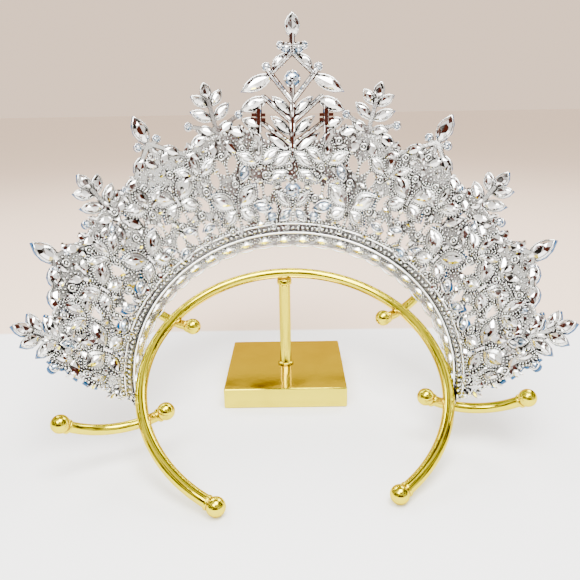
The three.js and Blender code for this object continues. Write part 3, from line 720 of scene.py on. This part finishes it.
band_wires = [along_band(0, SHEET + BAND_WIRE["back"]), along_band(0, BAND_WIRE["front"])]
fine_wires = [along_band(FINE_WIRE["above"], SHEET + FINE_WIRE["back"]),
              along_band(FINE_WIRE["above"], FINE_WIRE["front"]), along_band(sheet_top, SHEET / 2)]
hem_leaf, hem_faces = navette(HEM_LEAF["length"], HEM_LEAF["width"], SHEET + HEM_LEAF["foot"],
                              SHEET + HEM_LEAF["wall"], SHEET + HEM_LEAF["ridge"])
scallops, hem_leaves, edge_shot = [], [], []
for spot in string(along_band(sheet_foot, SHEET / 2), HEM["pitch"], closed=False):
    place = on_edge(spot)
    turns = np.linspace(0, math.pi, HEM["steps"])
    loop = place.place(np.cos(turns) * HEM["pitch"] / 2, -np.sin(turns) * HEM["depth"])
    scallops.append(np.column_stack([loop, np.full(HEM["steps"], SHEET / 2)]))
    row = (-HEM_LEAF["length"] / 2, HEM_LEAF["above"], 90, HEM_LEAF["length"], HEM_LEAF["width"])
    hem_leaves.append((place.leaf(row, hem_leaf), hem_faces))
    edge = rim_line(place, row, SHEET + BAND_LIFT, HEM_SHOT["share"])
    edge_shot += beads(string(edge, HEM_SHOT["pitch"]), HEM_SHOT["radius"])
    edge_shot += beads(string(scallops[-1], SCALLOP_SHOT["pitch"], closed=False), SCALLOP_SHOT["radius"])
crown_piece("crown_edge_wires", [wires(band_wires, BAND_WIRE["radius"], False),
                                 wires(fine_wires, FINE_WIRE["radius"], False),
                                 wires(scallops, HEM["wire"], False)], silver, smooth=True)
for above, pitch, radius in BAND_SHOT:
    edge_shot += beads(string(along_band(above, SHEET + BAND_LIFT), pitch, closed=False), radius)
edge_shot += list(on_front(edge_shot))
edge_shot += beads(string(along_band(sheet_top, SHEET / 2), TRIM_SHOT["pitch"], closed=False),
                   TRIM_SHOT["radius"], large_bead)
crown_piece("crown_edge_beads", edge_shot, silver, smooth=True)
trim_leaf, trim_faces = navette(TRIM["length"], TRIM["width"], TRIM["foot"], TRIM["wall"], TRIM["ridge"])
trim_leaves = []
for count, spot in enumerate(string(along_band(sheet_top, 0, TRIM_STEPS), TRIM["pitch"], closed=False)):
    row = (0, -TRIM["sunk"], TRIM["lean"] * (-1) ** count)
    trim_leaves.append((on_edge(spot).leaf(row, trim_leaf), trim_faces))
crown_piece("crown_hem_leaves", hem_leaves + list(on_front(hem_leaves)), silver, smooth=False)
crown_piece("crown_edge_leaves", trim_leaves, bright, smooth=False)

# Stones: crystal marquises and rounds, ground with a table and two rings of facets, set in the cups' rims
# at the crown's front. A few settings are open at the back as well, the round ones with four prongs.
# A cut's levels give a share of the outline, a height, and whether its corners lie between the outline's.
FRONT_CUT = [(1.12, -0.3, False), (1.14, -1.5, False), (0.8, -2.4, True), (0.32, -3.0, False)]
OPEN_CUT = [(0.96, -0.3, False), (0.98, 1.0, False), (0.72, 1.8, True), (0.15, 2.4, False)]
FRONT_STEPS = 4
OPEN_STEPS = 5
# The coating by height: shares of the stone's height, and how thick it is there.
COATED = (0.1, 0.73, 0.8), (1, 0.85, 0)
OPEN_COATING = 0.95
FULL_WIDTH = 5
OPEN_ROUND = {"stone": 0.48, "rim": 0.52, "rim_height": 0.9}
OPEN_LEAF = {"rim_lift": 0.6, "rim_share": 1.06}
PRONG = {"count": 4, "height": 1.7, "share": 0.47, "radius": 0.13}
# Open leaves: angle from the front, slant height, lean, length, width.
OPEN_LEAVES = [(16.5, 28.5, -30, 9.5, 5), (29.5, 12, 100, 7, 3.6), (36.5, 13.5, 75, 7, 3.2),
               (41.5, 6.5, 100, 8, 4.6), (47, 10, 60, 7, 3.6), (57.5, 40, 140, 8, 3.4),
               (64, 12, 120, 7.5, 4), (72.8, 7, 55, 7.5, 4.4), (79, 9.5, 105, 8, 4.5),
               (94, 26.5, 20, 8.5, 5.2)]
PEAK_OPEN_LEAVES = [(10.4, 13.4, 80, 10.8, 5.6), (0.6, 13, 132, 8.4, 4.6)]
# Rounds of the peak: place across and along it, diameter.
PEAK_ROUNDS = [(0, 77.1, 7.6), (3.1, 91.6, 4.8), (5.9, 93, 3.4), (13, 82.8, 3.8), (10.8, 9, 5.4),
               (0, 22.4, 8.4)]

# Foil-backed crystal, ground and polished. Each facet has a painted reflection, bright or grey at random,
# broken up by the stone's back facets, drawn 2.2 mm wide, coarser than real ones, to show. The coated
# girdle flashes blue at the edges.
crystal, crystal_shader = new_material("foil_backed_crystal")
crystal_place = add_node(crystal, "ShaderNodeTexCoord", {})
crystal_girdle = add_node(crystal, "ShaderNodeAttribute", {}, attribute_name="girdle")
crystal_facet = add_node(crystal, "ShaderNodeAttribute", {}, attribute_name="facet")
# painted reflection: each facet's colour runs from grey-blue to white by its random value
crystal_glint_share = add_node(crystal, "ShaderNodeMapRange", {
    "Value": crystal_facet.outputs["Fac"], "From Min": 0.1, "From Max": 0.6})
crystal_painted_glint = add_node(crystal, "ShaderNodeMix", {
    0: crystal_glint_share.outputs["Result"], 6: linear("#6d8a9c"), 7: linear("#fbfdff")}, data_type="RGBA")
crystal_coat = add_node(crystal, "ShaderNodeMapRange", {
    "Value": crystal_girdle.outputs["Fac"], "From Min": 0.35, "From Max": 0.85})
crystal_tone = add_node(crystal, "ShaderNodeMix", {
    0: crystal_coat.outputs["Result"], 6: crystal_painted_glint.outputs[2], 7: linear("#034a78")}, data_type="RGBA")
crystal_foil = add_node(crystal, "ShaderNodeMath", {
    0: 1, 1: crystal_coat.outputs["Result"]}, operation="SUBTRACT")
crystal_cells = add_node(crystal, "ShaderNodeTexVoronoi", {
    "Vector": crystal_place.outputs["Object"], "Scale": 1 / (2.2 * MM)}, distance="MANHATTAN")
crystal_back = add_node(crystal, "ShaderNodeBump", {
    "Height": crystal_cells.outputs["Distance"], "Strength": 0.3, "Distance": 0.8 * MM})
link(crystal, crystal_tone.outputs[2], crystal_shader.inputs["Base Color"])
link(crystal, crystal_foil.outputs["Value"], crystal_shader.inputs["Metallic"])
link(crystal, crystal_back.outputs["Normal"], crystal_shader.inputs["Normal"])
crystal_shader.inputs["Roughness"].default_value = 0.05


def cut(outline, levels):
    """A faceted solid through an outline at several levels."""
    middle = (outline.min(axis=0) + outline.max(axis=0)) / 2
    between = (outline + np.roll(outline, -1, axis=0)) / 2
    return hull([(*(middle + (point - middle) * share), z)
                 for share, z, turned_on in levels for point in (between if turned_on else outline)])


def set_stone(motif, row, outline, levels, thin=1, coating=1):
    """A cut stone in its place, and its coating's share at each point."""
    points, faces = cut(outline, [(share, z * thin, turned_on) for share, z, turned_on in levels])
    heights = np.abs(points[:, 2])
    return motif.leaf(row, points), faces, coating * np.interp(heights / heights.max(), *COATED)


def stone_piece(name, stones):
    """Stones as one mesh, with the coating at each point and a painted glint drawn at random for each facet.
    """
    shapes = [(points, faces) for points, faces, girdle in stones]
    piece = crown_piece(name, shapes, crystal, smooth=False)
    coating = piece.data.attributes.new("girdle", "FLOAT", "POINT")
    coating.data.foreach_set("value", np.concatenate([girdle for points, faces, girdle in stones]))
    painted_glint = piece.data.attributes.new("facet", "FLOAT", "FACE")
    painted_glint.data.foreach_set("value", [draw.random() for facet in piece.data.polygons])
    return piece


ring_turns = np.arange(CIRCLE_STEPS) * math.tau / CIRCLE_STEPS
ring_outline = np.column_stack([np.cos(ring_turns), np.sin(ring_turns)])
open_leaves = [(peak, row) for row in both_sides(PEAK_OPEN_LEAVES)] + singles(OPEN_LEAVES)
rounds = []
for u, v, diameter in PEAK_ROUNDS:
    rounds += [(peak, (sign * u, v, 0), diameter) for sign in ((-1, 1) if u else (1,))]
for motif, site, stem_end, twig, bead in sprays:
    rounds += [(motif, (sign * bead["across"], bead["along"], 0), bead["diameter"]) for sign in (-1, 1)]
front_stones, open_stones, open_rims, prongs = [], [], [], []
for motif, row in free_leaves + wings + open_leaves:
    length, width = row[3:]
    thin = min(1, width / FULL_WIDTH)
    front_stones.append(set_stone(motif, row, lens(length, width, FRONT_STEPS), FRONT_CUT, thin))
for motif, row, diameter in rounds:
    u, v = row[:2]
    front_stones.append(set_stone(motif, row, ring_outline * diameter / 2, FRONT_CUT))
    open_stones.append(set_stone(motif, row, ring_outline * diameter * OPEN_ROUND["stone"], OPEN_CUT,
                                 coating=OPEN_COATING))
    open_rims.append(circle(motif, u, v, OPEN_ROUND["rim_height"], diameter * OPEN_ROUND["rim"]))
    corners = circle(motif, u, v, PRONG["height"], diameter * PRONG["share"], PRONG["count"])
    prongs += beads(corners, diameter * PRONG["radius"])
for motif, row in open_leaves:
    open_stones.append(set_stone(motif, row, lens(*row[3:], OPEN_STEPS), OPEN_CUT, coating=OPEN_COATING))
    open_rims.append(rim_line(motif, row, SHEET + OPEN_LEAF["rim_lift"], OPEN_LEAF["rim_share"]))
crown_piece("crown_open_rims", [wires(open_rims, RIM["radius"], True)] + prongs, bright, smooth=True)
stone_piece("crown_open_stones", open_stones)
stone_nodes = [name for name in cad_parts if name.startswith("stone_")]
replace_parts(stone_piece("crown_stones", front_stones), *stone_nodes)

# Floor, light and camera: a plain pale floor that turns warm behind the stand, large soft lights overhead,
# at the left and behind, and the camera at the photograph's angle.
FLOOR_HALF = 6
FLOOR_TURN = (72 * MM, 75 * MM)
floor_grid = bmesh.new()
bmesh.ops.create_grid(floor_grid, x_segments=1, y_segments=1, size=FLOOR_HALF)
floor_mesh = bpy.data.meshes.new("floor")
floor_grid.to_mesh(floor_mesh)
floor_grid.free()
floor = bpy.data.objects.new("floor", floor_mesh)
bpy.context.scene.collection.objects.link(floor)

# Matt paper: a soft white without gloss, and a warm beige where it runs on behind the stand.
paper, paper_shader = new_material("matt_backdrop_paper")
paper_place = add_node(paper, "ShaderNodeTexCoord", {})
paper_axis = add_node(paper, "ShaderNodeSeparateXYZ", {"Vector": paper_place.outputs["Object"]})
paper_far = add_node(paper, "ShaderNodeMapRange", {
    "Value": paper_axis.outputs["Y"], "From Min": FLOOR_TURN[0], "From Max": FLOOR_TURN[1]})
paper_tone = add_node(paper, "ShaderNodeMix", {
    0: paper_far.outputs["Result"], 6: linear("#fcfcfc"), 7: linear("#f0d5bd")}, data_type="RGBA")
link(paper, paper_tone.outputs[2], paper_shader.inputs["Base Color"])
paper_shader.inputs["Roughness"].default_value = 0.7
floor_mesh.materials.append(paper)

# A pale room: warm behind the stand and white elsewhere. Dark brown cards stand about in it for the polished
# metal to mirror, and only reflections see them, so that the backdrop stays plain in every view.
# Each zone: the direction's axis, where it starts and where it is full.
SKY_ZONES = {"white": ("Y", 0.6, 0.3), "open": ("Y", 0.87, 0.78), "rear": ("Y", -0.82, -0.89),
             "low": ("Z", 0.4, 0.3)}
world = bpy.data.worlds.new("soft_room")
bpy.context.scene.world = world
world.use_nodes = True
sky = world.node_tree.nodes["Background"]
sky_place = add_node(world, "ShaderNodeTexCoord", {})
sky_axis = add_node(world, "ShaderNodeSeparateXYZ", {"Vector": sky_place.outputs["Generated"]})
sky_zones = {}
for zone, (axis, start, full) in SKY_ZONES.items():
    sky_zones[zone] = add_node(world, "ShaderNodeMapRange", {
        "Value": sky_axis.outputs[axis], "From Min": start, "From Max": full},
        interpolation_type="SMOOTHSTEP").outputs["Result"]
sky_patches = add_node(world, "ShaderNodeTexNoise", {
    "Vector": sky_place.outputs["Generated"], "Scale": 5, "Detail": 1})
sky_dark = add_node(world, "ShaderNodeMapRange", {
    "Value": sky_patches.outputs["Fac"], "From Min": 0.48, "From Max": 0.53}, interpolation_type="SMOOTHSTEP")
sky_around = add_node(world, "ShaderNodeMath", {
    0: sky_dark.outputs["Result"], 1: sky_zones["open"]}, operation="MULTIPLY")
sky_behind = add_node(world, "ShaderNodeMath", {
    0: sky_zones["rear"], 1: sky_zones["low"]}, operation="MULTIPLY")
sky_cards = add_node(world, "ShaderNodeMath", {
    0: sky_around.outputs["Value"], 1: sky_behind.outputs["Value"]}, operation="MAXIMUM")
sky_rays = add_node(world, "ShaderNodeLightPath", {})
sky_share = add_node(world, "ShaderNodeMath", {
    0: sky_cards.outputs["Value"], 1: sky_rays.outputs["Is Glossy Ray"]}, operation="MULTIPLY")
sky_pale = add_node(world, "ShaderNodeMix", {
    0: sky_zones["white"], 6: linear("#e9ccb4"), 7: linear("#f6f3ee")}, data_type="RGBA")
sky_shades = add_node(world, "ShaderNodeTexNoise", {
    "Vector": sky_place.outputs["Generated"], "Scale": 3, "Detail": 0})
sky_warm = add_node(world, "ShaderNodeMapRange", {
    "Value": sky_shades.outputs["Fac"], "From Min": 0.46, "From Max": 0.54})
sky_depth = add_node(world, "ShaderNodeMix", {
    0: sky_warm.outputs["Result"], 6: linear("#17130f"), 7: linear("#471c10")}, data_type="RGBA")
sky_tone = add_node(world, "ShaderNodeMix", {
    0: sky_share.outputs["Value"], 6: sky_pale.outputs[2], 7: sky_depth.outputs[2]}, data_type="RGBA")
link(world, sky_tone.outputs[2], sky.inputs["Color"])
sky.inputs["Strength"].default_value = 1.8

# Lights: name, place and target in metres, size across in metres, power in watts.
LIGHTS = [("overhead", (0.1, -0.3, 0.75), (0, 0, 0.05), 0.45, 12),
          ("left_panel", (-0.42, 0.4, 0.66), (0, 0, 0.1), 0.35, 4.5),
          ("right_panel", (0.42, 0.4, 0.66), (0, 0, 0.1), 0.35, 4.5),
          ("fill", (-0.25, -0.6, 0.7), (0, 0, 0.08), 0.4, 7)]
for name, place, target, size, power in LIGHTS:
    lamp = bpy.data.lights.new(name, "AREA")
    lamp.shape = "DISK"
    lamp.size = size
    lamp.energy = power
    light = bpy.data.objects.new(name, lamp)
    light.location = place
    light.rotation_euler = (Vector(target) - Vector(place)).to_track_quat("-Z", "Y").to_euler()
    bpy.context.scene.collection.objects.link(light)

CAMERA_PLACE = Vector((4.70, -292.29, 143.93)) * MM
PITCH, YAW, ROLL = math.radians(17.67), math.radians(-0.37), math.radians(-0.96)
FOCAL_PIXELS = 600.8
IMAGE_PIXELS = 580
SENSOR = 36
ahead = Vector((math.sin(YAW) * math.cos(PITCH), math.cos(YAW) * math.cos(PITCH), -math.sin(PITCH)))
level = Vector((math.cos(YAW), -math.sin(YAW), 0))
above = level.cross(ahead)
right = math.cos(ROLL) * level + math.sin(ROLL) * above
top = -math.sin(ROLL) * level + math.cos(ROLL) * above
camera_lens = bpy.data.cameras.new("camera")
camera_lens.sensor_width = SENSOR
camera_lens.lens = SENSOR * FOCAL_PIXELS / IMAGE_PIXELS
camera_lens.clip_start = 1 * MM
camera = bpy.data.objects.new("camera", camera_lens)
camera.matrix_world = Matrix.Translation(CAMERA_PLACE) @ Matrix((right, top, -ahead)).transposed().to_4x4()
bpy.context.scene.collection.objects.link(camera)
bpy.context.scene.camera = camera
